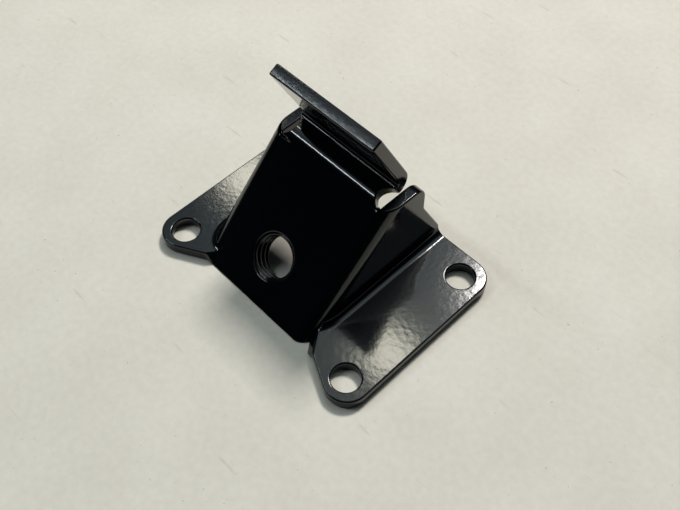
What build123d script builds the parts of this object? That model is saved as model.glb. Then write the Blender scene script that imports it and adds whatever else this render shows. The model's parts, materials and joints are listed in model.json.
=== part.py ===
"""Motor mounting bracket, cut and folded from one piece of steel sheet.

Millimetres, +Z up.  The origin is the middle of the four base holes, on the
plane that the flanges stand on.  X runs from flange to flange, and Y from the
foot of the sloping face towards the open back.
"""
import os
from math import asin, atan2, cos, hypot, radians, sin, tan

from build123d import *

os.makedirs("parts", exist_ok=True)

# ---- driving dimensions -----------------------------------------------------
sheet = 4.0                 # thickness of the sheet

hole_spacing_x = 76.2       # base holes, from flange to flange
hole_spacing_y = 50.8       # base holes, along a flange
hole_diameter = 9.3         # base holes

flange_edge = 8.2           # hole centre to the outer and back edges of a flange
flange_front_edge = 7.2     # hole centre to the slanted front edge
flange_corner = 7.4         # radius of the flange corners
right_front_reach = 4.0     # outside the wall, where the right flange's front edge starts
left_front_reach = -3.5     # the same on the left, where it starts in front of the face
flange_bend = 3.0           # inner radius of the bends between wall and flange

hat_centre_x = -4.2         # middle of the raised hat, off the hole pattern
hat_width = 50.8            # over the outer faces of the side walls
hat_bend = 1.3              # inner radius of the bends between face and walls
face_foot_y = -27.0         # bottom edge of the sloping face
face_angle = 45.0           # degrees, sloping face above the base plane
wall_top_z = 34.9           # top edge of the side walls

ear_back_y = 25.0           # back of the ear at the top of a side wall
ear_corner = 4.5            # radius of the top corner of the ear
ear_neck_z = 24.2           # underside of the ear, where the back edge starts
ear_neck = 4.0              # radius of the hollow between ear and back edge
back_foot_rise = 0.4        # above the flange bend, where the back edge turns upright

crest_rise = 53.0           # up the face to the crest, where it folds over into the shelf
shelf_depth = 7.7           # level shelf, from the crest to the meeting line with the plate
plate_bend = 1.5            # inner radius of the bend between shelf and plate
plate_lean = 26.6           # degrees, forward lean of the plate from the vertical
plate_height = 27.4         # from the meeting line to the top edge
plate_width = 41.9          # across the shelf and the plate
plate_centre_x = -3.95      # middle of the plate

relief_diameter = 8.4       # round reliefs at both ends of the crest, up to the walls
relief_past_crest = 1.3     # relief centre behind the crest
relief_past_wall = 1.0      # relief centre outside the inner face of the wall
relief_over = 2.0           # above the crest, where the cut starts in front of the plate
relief_depth = 9.0          # below the crest

face_hole_diameter = 15.6   # mounting hole through the sloping face
face_hole_rise = 16.6       # hole centre up the face
face_hole_x = -5.1          # hole centre across the bracket

# ---- derived sizes ----------------------------------------------------------
hat_half = hat_width / 2
hat_corner = hat_bend + sheet                   # outer radius, face to wall
bend_end_x = hat_half + flange_bend             # where a flange turns flat
bend_centre_z = sheet + flange_bend
flange_back_y = hole_spacing_y / 2 + flange_edge
across = Vector(1, 0, 0)
face_foot = Vector(0, face_foot_y, 0)
up_face = Vector(0, cos(radians(face_angle)), sin(radians(face_angle)))
out_of_face = Vector(0, -sin(radians(face_angle)), cos(radians(face_angle)))
out_of_crest = Vector(0, -sin(radians(face_angle / 2)), cos(radians(face_angle / 2)))
backwards = Vector(0, 1, 0)
up_plate = Vector(0, -sin(radians(plate_lean)), cos(radians(plate_lean)))
wall_top_rise = wall_top_z / up_face.Z
crest = face_foot + up_face * crest_rise
beyond = 90.0               # longer than the bracket, for blocks trimmed later
RIGHT, LEFT = 1, -1


def on_face(rise, depth=0.0):
    """Point on the sloping face, or below it, in the middle plane."""
    return face_foot + up_face * rise - out_of_face * depth


def yz(point):
    """A point as a sketch on Plane.YZ takes it."""
    return (point.Y, point.Z)


def edges_up_the_face(body, depth):
    """Edges of a body that run up the face at a given depth below it."""
    plane = Plane(origin=on_face(0, depth), z_dir=out_of_face)
    found = ShapeList()
    for edge in body.edges():
        in_plane = all(abs(plane.to_local_coords(edge @ t).Z) < 0.001 for t in (0, 0.5, 1))
        if in_plane and abs((edge @ 1 - edge @ 0).Z) > 1 and (edge @ 0.5).Z > sheet:
            found.append(edge)
    return found


def hollow_section():
    """Section of the hollow, which flares at its foot round the flange bends."""
    outer_radius = flange_bend + sheet
    with BuildSketch() as section:
        with BuildLine():
            Polyline((0, beyond), (hat_half - sheet, beyond), (hat_half - sheet, bend_centre_z))
            CenterArc((bend_end_x, bend_centre_z), outer_radius, 180, 90)
            Polyline((bend_end_x, 0), (bend_end_x, -beyond), (0, -beyond), (0, beyond))
        make_face()
        mirror(about=Plane.YZ)
    return section.sketch


def seams(body):
    """Seams where the hat stands on the top of the two flanges."""
    face_y = face_foot_y + sheet * up_face.Y / up_face.Z
    found = ShapeList()
    for edge in body.edges().filter_by_position(Axis.Z, sheet, sheet):
        middle = edge @ 0.5
        if abs(middle.X - hat_centre_x) < hat_half + 0.001 and middle.Y > face_y - 0.001:
            found.append(edge)
    return found


def side_profile():
    """The hat from the side, with the round ear at the top of its back edge."""
    with BuildSketch() as profile:
        with BuildLine():
            Polyline(yz(face_foot), yz(on_face(wall_top_rise)),
                     (ear_back_y, wall_top_z), (ear_back_y, ear_neck_z),
                     (flange_back_y, bend_centre_z + back_foot_rise), (flange_back_y, 0),
                     close=True)
        make_face()
        ear_corners = profile.vertices().filter_by_position(Axis.X, ear_back_y, ear_back_y)
        fillet(ear_corners.sort_by(Axis.Y)[-1], ear_corner)
        neck = profile.vertices().filter_by_position(Axis.X, ear_back_y, ear_back_y)
        fillet(neck.sort_by(Axis.Y)[0], ear_neck)
    return profile.sketch


def under_face_profile(depth):
    """Everything that lies deeper than a given depth below the face."""
    with BuildSketch() as profile:
        with BuildLine():
            Polyline(yz(on_face(-beyond, depth)), yz(on_face(2 * beyond, depth)),
                     (2 * beyond, -beyond), close=True)
        make_face()
    return profile.sketch


def plate_profile():
    """Strip of sheet from the top of the face over the crest and shelf, and up the plate."""
    plate_foot = crest + backwards * shelf_depth
    with BuildSketch() as profile:
        with BuildLine():
            FilletPolyline(yz(on_face(wall_top_rise)), yz(crest), yz(plate_foot),
                           yz(plate_foot + up_plate * plate_height),
                           radius=(hat_corner, plate_bend))
            offset(amount=sheet, side=Side.RIGHT)
        make_face()
    return profile.sketch


def flange_front(side, reach):
    """Both ends of the slanted front edge of a flange, before its corner is rounded."""
    start_x = hat_centre_x + side * (hat_half + reach)
    past_start_x = hole_spacing_x / 2 - side * start_x
    past_start_y = -hole_spacing_y / 2 - face_foot_y
    to_hole = hypot(past_start_x, past_start_y)
    slant = asin(flange_front_edge / to_hole) - atan2(past_start_y, past_start_x)
    outer_x = start_x + side * (past_start_x + flange_edge)
    corner_y = face_foot_y - (past_start_x + flange_edge) * tan(slant)
    return (start_x, face_foot_y), (outer_x, corner_y)


def flange_profile(side, reach):
    """One flange from above, and on inwards until it lies well inside the hat."""
    start, front_corner = flange_front(side, reach)
    outer_x = front_corner[0]
    inner_x = hat_centre_x + side * hat_half / 2
    with BuildSketch() as profile:
        with BuildLine():
            Polyline((inner_x, face_foot_y), start, front_corner,
                     (outer_x, flange_back_y), (inner_x, flange_back_y), close=True)
        make_face()
        fillet(profile.vertices().filter_by_position(Axis.X, outer_x, outer_x), flange_corner)
    return profile.sketch


# ---- the hat as a solid block, and its hollow -------------------------------
with BuildPart() as hat_block:
    with BuildSketch(Plane.YZ):
        add(side_profile())
    extrude(amount=hat_half, both=True)
    fillet(edges_up_the_face(hat_block, 0), hat_corner)

with BuildPart() as hollow:
    with BuildSketch(Plane.XZ):
        add(hollow_section())
    extrude(amount=beyond, both=True)
    with BuildSketch(Plane.YZ):
        add(under_face_profile(sheet))
    extrude(amount=beyond, both=True, mode=Mode.INTERSECT)
    fillet(edges_up_the_face(hollow, sheet), hat_bend)

# ---- the flanges, each with a slanted notch between its front edge and the hat --
with BuildPart() as flanges:
    for side, reach in ((RIGHT, right_front_reach), (LEFT, left_front_reach)):
        with BuildSketch(Plane.XY):
            add(flange_profile(side, reach))
        extrude(amount=sheet)
        start = Vector(*flange_front(side, reach)[0], sheet)
        with BuildSketch(Plane(origin=start, z_dir=out_of_face - across * side)):
            Rectangle(hat_width, hat_width)
        extrude(amount=hat_half, mode=Mode.SUBTRACT)

# ---- the folded bracket -----------------------------------------------------
with BuildPart() as motor_bracket:
    with Locations((hat_centre_x, 0, 0)):
        add(hat_block.part)
    add(flanges.part)
    fillet(seams(motor_bracket), flange_bend)
    with Locations((hat_centre_x, 0, 0)):
        add(hollow.part, mode=Mode.SUBTRACT)

    with BuildSketch(Plane.YZ.offset(plate_centre_x)):
        add(plate_profile())
    extrude(amount=plate_width / 2, both=True)

    # round reliefs at both ends of the crest, cut off at the inner faces of the walls
    for side in (RIGHT, LEFT):
        wall_x = hat_centre_x + side * (hat_half - sheet)
        start = crest + out_of_crest * relief_over + across * wall_x
        with BuildSketch(Plane(origin=start, x_dir=(1, 0, 0), z_dir=out_of_crest)):
            with Locations((side * relief_past_wall, relief_past_crest)):
                Circle(relief_diameter / 2)
            with Locations((-side * relief_diameter, 0)):
                Rectangle(2 * relief_diameter, 2 * relief_diameter, mode=Mode.INTERSECT)
        extrude(amount=-relief_over - relief_depth, mode=Mode.SUBTRACT)

    # mounting hole through the face, and the four base holes
    face_hole_centre = on_face(face_hole_rise) + across * face_hole_x
    with Locations(Plane(origin=face_hole_centre, x_dir=(1, 0, 0), z_dir=out_of_face)):
        Hole(face_hole_diameter / 2, depth=2 * sheet)
    with Locations((0, 0, sheet)):
        with GridLocations(hole_spacing_x, hole_spacing_y, 2, 2):
            Hole(hole_diameter / 2, depth=2 * sheet)

motor_bracket.part.label = "motor_bracket"
export_step(motor_bracket.part, "parts/motor_bracket.step")
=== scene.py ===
# %% [markdown]
# # A folded motor bracket in gloss black powder coat
#
# The real object is one piece of 4 mm steel sheet. A press cut its outline and
# its holes, folded a sloping hat between two flat flanges, and turned the top
# of the slope up into a plate. Then it was powder coated in gloss black.
#
# The solid is already right, so this lesson is about what the coat does to it:
# the cut edges come out softly rounded, the surface has a faint orange peel, a
# little dust lies on it, and everything else is reflections. A black gloss part
# shows its surroundings more than itself, so the lamps matter as much as the
# material.

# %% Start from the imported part
import json
import math

import bmesh
import bpy
from mathutils import Matrix, Vector
from mathutils.bvhtree import BVHTree


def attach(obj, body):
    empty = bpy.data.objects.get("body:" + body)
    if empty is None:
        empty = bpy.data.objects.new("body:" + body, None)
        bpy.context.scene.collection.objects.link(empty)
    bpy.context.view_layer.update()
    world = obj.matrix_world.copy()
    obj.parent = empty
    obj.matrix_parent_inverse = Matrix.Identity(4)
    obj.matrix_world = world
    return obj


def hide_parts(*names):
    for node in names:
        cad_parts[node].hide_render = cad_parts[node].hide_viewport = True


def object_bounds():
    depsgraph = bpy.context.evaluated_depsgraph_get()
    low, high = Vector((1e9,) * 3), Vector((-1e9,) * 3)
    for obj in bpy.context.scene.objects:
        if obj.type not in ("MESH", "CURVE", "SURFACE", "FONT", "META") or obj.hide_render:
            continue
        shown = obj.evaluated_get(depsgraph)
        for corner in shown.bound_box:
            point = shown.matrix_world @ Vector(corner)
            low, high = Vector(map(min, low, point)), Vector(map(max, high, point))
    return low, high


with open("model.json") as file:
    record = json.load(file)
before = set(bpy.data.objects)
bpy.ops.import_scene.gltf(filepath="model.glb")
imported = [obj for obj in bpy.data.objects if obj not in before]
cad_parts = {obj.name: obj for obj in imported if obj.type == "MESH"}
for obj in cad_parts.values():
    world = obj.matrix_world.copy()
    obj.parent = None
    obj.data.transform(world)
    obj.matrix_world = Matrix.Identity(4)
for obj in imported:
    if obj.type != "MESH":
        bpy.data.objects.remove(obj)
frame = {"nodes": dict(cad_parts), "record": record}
cad_low, cad_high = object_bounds()
bracket = frame["nodes"]["motor_bracket"]
print("facets in the packed mesh:", len(bracket.data.polygons))

# %% [markdown]
# ## Colours as written
#
# The Standard view transform shows a colour as it is written in the material.
# The filmic transforms would grey the deep black of the coat.

# %% View transform
scene = bpy.context.scene
scene.view_settings.view_transform = "Standard"
print("view transform:", scene.view_settings.view_transform)

# %% [markdown]
# ## A camera that looks down over the slope
#
# The bracket is seen from its front right corner and from well above, close
# enough for a little perspective. The camera could be dragged into place by
# hand, but two angles and a distance are easier to repeat. They place it on a
# sphere round a point near the origin, which is the middle of the base holes,
# and then it is rolled a touch.

# %% Camera
VIEW_AZIMUTH = math.radians(47.4)       # from -Y towards +X
VIEW_HEIGHT = math.radians(55.65)       # above the floor
VIEW_DISTANCE = 0.2816                  # metres, from the point aimed at
VIEW_ROLL = math.radians(-1.7)
AIM = Vector((0.0033, 0.0057, 0.0))
SENSOR_WIDTH, LENS = 36.0, 45.16        # millimetres
NEAREST, FARTHEST = 0.01, 20.0          # metres

towards_camera = Vector((
    math.sin(VIEW_AZIMUTH) * math.cos(VIEW_HEIGHT),
    -math.cos(VIEW_AZIMUTH) * math.cos(VIEW_HEIGHT),
    math.sin(VIEW_HEIGHT),
))
camera_data = bpy.data.cameras.new("bench_camera")
camera_data.sensor_width = SENSOR_WIDTH
camera_data.lens = LENS
camera_data.clip_start = NEAREST
camera_data.clip_end = FARTHEST
camera = bpy.data.objects.new("bench_camera", camera_data)
stand = Matrix.Translation(AIM + towards_camera * VIEW_DISTANCE)
look = (-towards_camera).to_track_quat("-Z", "Y").to_matrix().to_4x4()
camera.matrix_world = stand @ look @ Matrix.Rotation(VIEW_ROLL, 4, "Z")
scene.collection.objects.link(camera)
scene.camera = camera
print("camera stands", round(camera.matrix_world.translation.length, 3), "m from the origin")

# %% [markdown]
# ## Small helpers for node trees
#
# A node tree is easier to read when each node is made in one call that also
# sets its inputs. A value that is a socket becomes a link, and anything else is
# set on the input itself. Sums, noises, ranges and mixed colours come up again
# and again, so each has a helper that returns its output socket.

# %% Node helpers
def set_input(tree, socket, value):
    """Links a socket to an input, or sets the input to a plain value."""
    if isinstance(value, bpy.types.NodeSocket):
        tree.links.new(value, socket)
    else:
        socket.default_value = value


def add_node(tree, kind, inputs, **settings):
    """Makes a node, sets its properties, and links or sets its inputs."""
    node = tree.nodes.new(kind)
    for name, value in settings.items():
        setattr(node, name, value)
    for name, value in inputs.items():
        set_input(tree, node.inputs[name], value)
    return node


def add_math(tree, operation, first, second):
    """One Math node."""
    return add_node(tree, "ShaderNodeMath", {0: first, 1: second}, operation=operation).outputs[0]


def own_place(tree):
    """The place on an object in its own metres, which a noise can be read at."""
    return tree.nodes.new("ShaderNodeTexCoord").outputs["Object"]


def add_noise(tree, place, scale, detail, roughness=0.5):
    """A noise between 0 and 1."""
    inputs = {"Vector": place, "Scale": scale, "Detail": detail, "Roughness": roughness}
    return add_node(tree, "ShaderNodeTexNoise", inputs).outputs["Fac"]


def add_range(tree, value, low, high, at_low, at_high, interpolation="LINEAR"):
    """Goes from at_low to at_high while the value goes from low to high."""
    inputs = {"Value": value, "From Min": low, "From Max": high,
              "To Min": at_low, "To Max": at_high}
    node = add_node(tree, "ShaderNodeMapRange", inputs, interpolation_type=interpolation)
    return node.outputs["Result"]


def mix_colours(tree, factor, first, second):
    """The first colour where the factor is 0 and the second where it is 1."""
    inputs = {"Factor": factor, "A": first, "B": second}
    return add_node(tree, "ShaderNodeMix", inputs, data_type="RGBA").outputs["Result"]


helpers = (add_math, add_noise, add_range, mix_colours)
print("helpers that return a socket:", [helper.__name__ for helper in helpers])

# %% [markdown]
# ## Node groups and materials
#
# An effect such as orange peel or dust is easier to use again as a node group:
# it has named inputs and outputs, and each material places it with its own
# values. The Principled shader itself stays in the material.

# %% Group and material helpers
def new_group(name, inputs, outputs):
    """An empty group with named number sockets; returns its tree and its two end nodes."""
    tree = bpy.data.node_groups.new(name, "ShaderNodeTree")
    for label in inputs:
        tree.interface.new_socket(name=label, in_out="INPUT", socket_type="NodeSocketFloat")
    for label in outputs:
        tree.interface.new_socket(name=label, in_out="OUTPUT", socket_type="NodeSocketFloat")
    return tree, tree.nodes.new("NodeGroupInput"), tree.nodes.new("NodeGroupOutput")


def use_group(tree, group, values):
    """Places a node group in a material with its own values."""
    return add_node(tree, "ShaderNodeGroup", values, node_tree=group)


def new_material(name):
    """A material with a bare Principled shader; returns it, its tree and the shader."""
    material = bpy.data.materials.new(name)
    material.use_nodes = True
    tree = material.node_tree
    return material, tree, tree.nodes["Principled BSDF"]


print("helpers for trees:", [helper.__name__ for helper in (new_group, use_group, new_material)])

# %% [markdown]
# ## Orange peel
#
# Powder melts and flows on the hot part, and sets before it is quite level. That
# leaves a soft skin of dimples about a millimetre across and a few thousandths
# deep. They could be modelled, but they are so shallow that only reflections
# show them, so a bump does. Two noises make it: a broad one for the dimples and
# a finer one for the unevenness between them. The group gives a height, which a
# Bump node in the material turns into a normal.

# %% Group: orange peel
def make_orange_peel():
    tree, start, end = new_group("Orange peel", ["Dimple", "Fine", "Fine share"], ["Height"])
    place = own_place(tree)
    broad = add_noise(tree, place, start.outputs["Dimple"], detail=1.0, roughness=0.4)
    fine = add_noise(tree, place, start.outputs["Fine"], detail=2.0)
    added = add_math(tree, "MULTIPLY", fine, start.outputs["Fine share"])
    tree.links.new(add_math(tree, "ADD", broad, added), end.inputs["Height"])
    return tree


orange_peel = make_orange_peel()
print("orange peel sockets:", [item.name for item in orange_peel.interface.items_tree])

# %% [markdown]
# ## Dust
#
# A black part on a bench is never quite clean. A high-frequency noise with a
# hard threshold leaves scattered specks, and a slow noise makes them gather in
# some places. The group gives a mask that lightens the colour and dulls the
# gloss.

# %% Group: dust
SPECK_HARDNESS = 12.0           # how steeply a speck rises above the threshold
DRIFT_SCALE = 60.0              # size of the patches where specks gather


def make_dust():
    tree, start, end = new_group("Dust", ["Speck scale", "Threshold"], ["Mask"])
    place = own_place(tree)
    specks = add_noise(tree, place, start.outputs["Speck scale"], detail=2.0)
    drift = add_noise(tree, place, DRIFT_SCALE, detail=1.0)
    above = add_math(tree, "SUBTRACT", specks, start.outputs["Threshold"])
    steep = add_math(tree, "MULTIPLY", above, SPECK_HARDNESS)
    hard = add_node(tree, "ShaderNodeClamp", {"Value": steep}).outputs[0]
    tree.links.new(add_math(tree, "MULTIPLY", hard, drift), end.inputs["Mask"])
    return tree


dust = make_dust()
print("dust sockets:", [item.name for item in dust.interface.items_tree])

# %% [markdown]
# ## Gloss black powder coat
#
# The base is a near-black with a trace of blue, and it stays a dielectric: the
# steel under it never shows. The gloss is the Principled shader's own specular
# layer at a low roughness, broken up by the orange peel.

# %% Material: powder coat
COAT_BLACK = (0.0022, 0.0028, 0.0040, 1.0)
DUST_GREY = (0.05, 0.05, 0.048, 1.0)
CLEAN_ROUGHNESS, DUSTY_ROUGHNESS = 0.115, 0.45
PEEL_STRENGTH, PEEL_DEPTH = 0.28, 0.00006


def make_powder_coat():
    material, tree, shader = new_material("gloss_black_powder_coat")
    peel = use_group(tree, orange_peel, {"Dimple": 620.0, "Fine": 1900.0, "Fine share": 0.16})
    specks = use_group(tree, dust, {"Speck scale": 2400.0, "Threshold": 0.74}).outputs["Mask"]
    colour = mix_colours(tree, specks, COAT_BLACK, DUST_GREY)
    rough = add_range(tree, specks, 0.0, 1.0, CLEAN_ROUGHNESS, DUSTY_ROUGHNESS)
    bump = add_node(tree, "ShaderNodeBump", {
        "Height": peel.outputs["Height"], "Strength": PEEL_STRENGTH, "Distance": PEEL_DEPTH})
    tree.links.new(colour, shader.inputs["Base Color"])
    tree.links.new(rough, shader.inputs["Roughness"])
    tree.links.new(bump.outputs["Normal"], shader.inputs["Normal"])
    shader.inputs["Metallic"].default_value = 0.0
    shader.inputs["IOR"].default_value = 1.52
    shader.inputs["Specular IOR Level"].default_value = 0.5
    return material


powder_coat = make_powder_coat()
print("nodes in the coat:", len(powder_coat.node_tree.nodes))

# %% [markdown]
# ## Merge the facets
#
# The coat draws back from a sharp edge and leaves it with a radius of about half
# a millimetre. That is what catches the light round the holes and along the
# flanges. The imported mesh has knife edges, so a copy of it gets them rounded.
# First its triangles are merged back into the flat faces that they came from,
# because a bevel over triangles would crease the flats.

# %% Merge the facets
WELD = 0.00015                          # points closer than this are one
FLAT = math.radians(0.4)                # facets that meet below this are one face

work = bmesh.new()
work.from_mesh(bracket.data)
bmesh.ops.remove_doubles(work, verts=work.verts, dist=WELD)
bmesh.ops.dissolve_limit(work, angle_limit=FLAT, verts=work.verts, edges=work.edges)
print("faces after the merge:", len(work.faces))

# %% [markdown]
# ## Round the cut edges
#
# A bevel rounds every edge that is sharp. It could be a modifier that keeps its
# offsets from crossing, but then the shortest edge of the mesh would hold every
# radius down to nothing. So the bevel is as wide as it says, also where two
# edges meet at a very flat angle, and there it throws a few points far out.
# Every point carries its home, the corner that it came from. A stray is a point
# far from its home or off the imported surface, and it goes back between its
# neighbours.

# %% Round the cut edges
EDGE_RADIUS = 0.0006
EDGE_STEPS = 4
SHARP = math.radians(24)
FAR_FROM_HOME = 0.0016
OFF_SURFACE = 0.00045


def settle_strays(strays):
    """Puts each stray point between its neighbours, starting from the good ones."""
    while strays:
        moves = []
        for vert in strays:
            near = [edge.other_vert(vert) for edge in vert.link_edges]
            good = [other.co for other in near if other not in strays]
            if good:
                moves.append((vert, sum(good, Vector()) / len(good)))
        for vert, place in moves:
            vert.co = place
            strays.discard(vert)
        if not moves:
            break


def round_edges(work):
    """Rounds the sharp edges, and settles the points that the bevel throws out."""
    surface = BVHTree.FromBMesh(work)
    home = work.verts.layers.float_vector.new("home")
    for vert in work.verts:
        vert[home] = vert.co
    sharp = [edge for edge in work.edges if edge.is_manifold and edge.calc_face_angle() > SHARP]
    bmesh.ops.bevel(work, geom=sharp, offset=EDGE_RADIUS, offset_type="OFFSET",
                    segments=EDGE_STEPS, profile=0.5, affect="EDGES", clamp_overlap=False)
    strays = {vert for vert in work.verts if (vert.co - vert[home]).length > FAR_FROM_HOME
              or surface.find_nearest(vert.co)[3] > OFF_SURFACE}
    print("edges rounded:", len(sharp), "stray points put back:", len(strays))
    settle_strays(strays)
    work.verts.layers.float_vector.remove(home)


round_edges(work)

# %% [markdown]
# ## The coated bracket
#
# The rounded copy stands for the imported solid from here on. Smooth shading alone
# would bend the light over the big flats next to a round edge, so normals are
# weighted by the area of the faces: the flats win and stay flat.

# %% The coated bracket
def show_mesh(mesh, material):
    """Shows a mesh, smooth and in its material, as an object of the same name."""
    for face in mesh.polygons:
        face.use_smooth = True
    mesh.materials.append(material)
    shown = bpy.data.objects.new(mesh.name, mesh)
    scene.collection.objects.link(shown)
    return shown


coated_mesh = bpy.data.meshes.new("coated_bracket")
work.to_mesh(coated_mesh)
work.free()
coated = show_mesh(coated_mesh, powder_coat)
flats = coated.modifiers.new("flat_faces_stay_flat", "WEIGHTED_NORMAL")
flats.mode = "FACE_AREA"
flats.weight = 100
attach(coated, "root")
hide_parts("motor_bracket")
print("faces of the coated bracket:", len(coated_mesh.polygons))

# %% [markdown]
# ## The thread in the slope
#
# The hole in the slope is drawn inwards into a short collar, and the collar is
# tapped. From outside, its turns show as bright arcs on the low side of the
# bore. A bump could fake them, but not the way that each turn hides part of the
# next. A tapped thread is a helix: going once round moves it along by one
# pitch. So the collar's bore is a grid of points, round and along, and each
# point's radius depends on how far along it is less its share of a turn.

# %% A section of the collar
hole = next(mount for mount in frame["record"]["mounts"] if mount["name"] == "face_hole")
SHEET = hole["dims"]["length_mm"] / 1000
PITCH = 0.0022
CREST_RADIUS = 0.0069           # where the turns stand out
ROOT_RADIUS = 0.0076            # between the turns
TURN_SHARPNESS = 1.6            # above 1, the turns are wider than the gaps between them
FIRST_TURN = 0.0005             # below the face of the slope
COLLAR_DEPTH = 0.0072
COLLAR_RADIUS = 0.0088
COLLAR_EDGE = 0.0004            # chamfer at the collar's far end
SKIN = 0.00015                  # thickness of the thread's lining inside the hole
OVERLAP = 0.0002                # how far the collar reaches into the sheet
STEPS_ALONG = 64


def thread_radius(depth, turn):
    """Radius of the bore at a depth and a share of a turn, with soft painted turns."""
    wave = 0.5 - 0.5 * math.cos(math.tau * (depth / PITCH - turn))
    return CREST_RADIUS + (ROOT_RADIUS - CREST_RADIUS) * wave ** TURN_SHARPNESS


def collar_section(turn):
    """Radius and depth of each point of one section, down the bore and up outside."""
    points = [(ROOT_RADIUS, FIRST_TURN - OVERLAP)]
    for step in range(STEPS_ALONG + 1):
        depth = FIRST_TURN + (COLLAR_DEPTH - FIRST_TURN) * step / STEPS_ALONG
        points.append((thread_radius(depth, turn), depth))
    return points + [
        (COLLAR_RADIUS - COLLAR_EDGE, COLLAR_DEPTH), (COLLAR_RADIUS, COLLAR_DEPTH - COLLAR_EDGE),
        (COLLAR_RADIUS, SHEET - OVERLAP), (ROOT_RADIUS + SKIN, SHEET - OVERLAP),
        (ROOT_RADIUS + SKIN, FIRST_TURN)]


print("turns of thread:", round((COLLAR_DEPTH - FIRST_TURN) / PITCH, 1))
print("points in a section:", len(collar_section(0)))

# %% [markdown]
# ## The collar, spun round the hole
#
# A Screw modifier could turn one section into a helix, but it would leave the
# ends of the collar slanted. Here each spoke has its own section, with the same
# number of points, and each is joined to the next. The last is joined to the
# first, which closes the ring.

# %% The tapped collar
SPOKES = 96


def make_collar(centre, outwards):
    """The collar as one closed ring of quads round the axis of the hole."""
    side = outwards.orthogonal().normalized()
    other = outwards.cross(side)
    points, faces = [], []
    for spoke in range(SPOKES):
        turn = spoke / SPOKES
        arm = side * math.cos(math.tau * turn) + other * math.sin(math.tau * turn)
        section = collar_section(turn)
        points += [centre + arm * radius - outwards * depth for radius, depth in section]
    count = len(section)
    for spoke in range(SPOKES):
        here, there = spoke * count, (spoke + 1) % SPOKES * count
        for row in range(count):
            after = (row + 1) % count
            faces.append((here + row, here + after, there + after, there + row))
    mesh = bpy.data.meshes.new("tapped_collar")
    mesh.from_pydata([tuple(point) for point in points], [], faces)
    return mesh


hole_axis = Vector(hole["axis"]).normalized()
hole_mouth = Vector(hole["pos_m"]) + hole_axis * SHEET / 2
collar = show_mesh(make_collar(hole_mouth, hole_axis), powder_coat)
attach(collar, "root")
print("faces of the collar:", len(collar.data.polygons))

# %% [markdown]
# ## A pale bench top
#
# The bracket stands on a pale, slightly warm sheet with faint stains, dark
# specks and short scuffs. It is part of the stage, not of the object. A slow
# noise and a fine one mix two paper colours. The specks are the peaks of a
# third noise, and the scuffs are the peaks of a fourth one, which is read at
# stretched places so that its blobs come out as strokes.

# %% Material: bench top
PAPER_DARK, PAPER_LIGHT = (0.590, 0.555, 0.480, 1.0), (0.850, 0.815, 0.740, 1.0)
MARK_BROWN = (0.30, 0.28, 0.24, 1.0)
STAIN_SCALE, STAIN_SHARE = 28.0, 0.55
GRAIN_SCALE, GRAIN_SHARE = 420.0, 0.45
SPECK_SCALE = 700.0
SCUFF_SLANT, SCUFF_STRETCH = 0.6, (70.0, 520.0, 1.0)
BENCH_ROUGHNESS, BENCH_SHINE = 0.75, 0.2


def make_bench_top():
    material, tree, shader = new_material("bench_top")
    place = own_place(tree)
    stain = add_math(tree, "MULTIPLY", add_noise(tree, place, STAIN_SCALE, detail=4.0), STAIN_SHARE)
    grain = add_math(tree, "MULTIPLY", add_noise(tree, place, GRAIN_SCALE, detail=3.0), GRAIN_SHARE)
    paper = mix_colours(tree, add_math(tree, "ADD", stain, grain), PAPER_DARK, PAPER_LIGHT)
    dots = add_noise(tree, place, SPECK_SCALE, detail=1.0)
    speck = add_range(tree, dots, 0.74, 0.80, 0.0, 0.45)
    stretched = add_node(tree, "ShaderNodeMapping", {
        "Vector": place, "Rotation": (0.0, 0.0, SCUFF_SLANT), "Scale": SCUFF_STRETCH})
    strokes = add_noise(tree, stretched.outputs["Vector"], 1.0, detail=0.0)
    scuff = add_range(tree, strokes, 0.78, 0.86, 0.0, 0.2)
    colour = mix_colours(tree, add_math(tree, "MAXIMUM", speck, scuff), paper, MARK_BROWN)
    tree.links.new(colour, shader.inputs["Base Color"])
    shader.inputs["Roughness"].default_value = BENCH_ROUGHNESS
    shader.inputs["Specular IOR Level"].default_value = BENCH_SHINE
    return material


bench_top = make_bench_top()
print("nodes in the bench top:", len(bench_top.node_tree.nodes))

# %% [markdown]
# ## The bench
#
# One large quad is enough, because all that shows of it is its colour and the
# shadow of the part. It lies a hair below the flanges: two flat faces at the
# same height would flicker through each other.

# %% Bench
BENCH_HALF = 2.0                # metres, from the middle to each side
BENCH_CLEARANCE = 0.00002       # metres, below the flanges

bench_mesh = bpy.data.meshes.new("bench")
corners = [(x * BENCH_HALF, y * BENCH_HALF, 0) for x, y in ((-1, -1), (1, -1), (1, 1), (-1, 1))]
bench_mesh.from_pydata(corners, [], [(0, 1, 2, 3)])
bench = show_mesh(bench_mesh, bench_top)
bench.location.z = cad_low.z - BENCH_CLEARANCE
print("mm from the bench up to the flanges:", round((cad_low.z - bench.location.z) * 1000, 3))

# %% [markdown]
# ## A sky for a gloss black part
#
# The real part lies in a workshop with a pale ceiling. A picture of a room could
# light it, but a few nodes do, and they stay easy to change. The slope mirrors
# what is low in front of it, and it should stay black. So the sky is dark up to
# about 40 degrees above the floor and opens overhead, and it is dimmer in front
# than behind. It is also dark round the direction of the camera, where a maker
# leans over the part.

# %% Sky
SKY_STARTS, SKY_OPEN = 0.64, 0.92       # height of the direction above the floor
SKY_DARK, SKY_BRIGHT = 0.012, 1.05
IN_FRONT, BEHIND = -0.45, 0.35          # how far back the direction points
FRONT_SHARE = 0.35                      # of the brightness behind
MAKER_CORE, MAKER_EDGE = math.radians(30), math.radians(50)
MAKER_SHADE = 0.02
LOW_COLOUR, HIGH_COLOUR = (0.45, 0.75, 1.0, 1.0), (0.86, 1.0, 0.99, 1.0)

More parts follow.
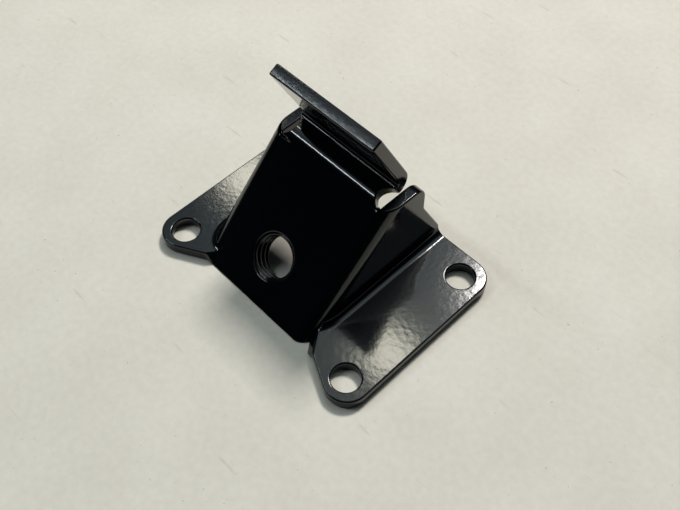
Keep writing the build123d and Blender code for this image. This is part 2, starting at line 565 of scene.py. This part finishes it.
world = bpy.data.worlds.new("workshop")
world.use_nodes = True
scene.world = world
sky = world.node_tree
direction = sky.nodes.new("ShaderNodeTexCoord").outputs["Generated"]
parts = add_node(sky, "ShaderNodeSeparateXYZ", {"Vector": direction}).outputs
opening = add_range(sky, parts["Z"], SKY_STARTS, SKY_OPEN, SKY_DARK, SKY_BRIGHT, "SMOOTHSTEP")
depth = add_range(sky, parts["Y"], IN_FRONT, BEHIND, FRONT_SHARE, 1.0, "SMOOTHSTEP")
nearness = add_node(sky, "ShaderNodeVectorMath", {0: direction, 1: tuple(towards_camera)},
                    operation="DOT_PRODUCT").outputs["Value"]
maker = add_range(sky, nearness, math.cos(MAKER_EDGE), math.cos(MAKER_CORE),
                  1.0, MAKER_SHADE, "SMOOTHSTEP")
brightness = add_math(sky, "MULTIPLY", add_math(sky, "MULTIPLY", opening, depth), maker)
background = sky.nodes["Background"]
sky.links.new(mix_colours(sky, opening, LOW_COLOUR, HIGH_COLOUR), background.inputs["Color"])
sky.links.new(brightness, background.inputs["Strength"])
print("sky is dark below", round(math.degrees(math.asin(SKY_STARTS))), "degrees")

# %% [markdown]
# ## Lamps
#
# The main panel hangs behind the part, and the shadow falls to the front. A
# gloss surface shows a lamp as a shape, so the other three are placed where the
# part mirrors them to the camera. Two small warm lamps each make a bright patch
# on one flange, and a long cool tube in front draws the pale line along the
# crest of the slope. Brightness is given per area, so that a lamp can change its
# size and keep the look of its reflection.

# %% Lamps
WARM_WHITE, WARM, COOL = (1.0, 0.97, 0.93), (1.0, 0.965, 0.80), (0.85, 0.95, 1.0)
LAMPS = (
    # name, direction, distance, width, depth, radiance, colour
    ("main_panel", (-0.16, 0.56, 0.813), 1.4, 0.24, 0.24, 82.0, WARM_WHITE),
    ("lamp_right", (-0.272, 0.348, 0.897), 1.3, 0.10, 0.075, 17.0, WARM),
    ("lamp_left", (-0.555, 0.352, 0.754), 1.3, 0.10, 0.085, 17.0, WARM),
    ("tube_in_front", (-0.49, -0.355, 0.795), 1.4, 0.60, 0.08, 25.0, COOL),
)


def add_lamp(name, direction, distance, width, depth, radiance, colour):
    """A rectangular area lamp aimed at the origin, with its width level from side to side."""
    lamp = bpy.data.lights.new(name, "AREA")
    lamp.shape = "RECTANGLE"
    lamp.size, lamp.size_y = width, depth
    lamp.energy = radiance * math.pi * width * depth
    lamp.color = colour
    holder = bpy.data.objects.new(name, lamp)
    away = Vector(direction).normalized()
    across = away.cross(Vector((1.0, 0.0, 0.0))).normalized()
    axes = Matrix((across.cross(away), across, away)).transposed()
    holder.location = away * distance
    holder.rotation_mode = "QUATERNION"
    holder.rotation_quaternion = axes.to_quaternion()
    scene.collection.objects.link(holder)
    print(name, "at", [round(value, 2) for value in holder.location])


for lamp in LAMPS:
    add_lamp(*lamp)
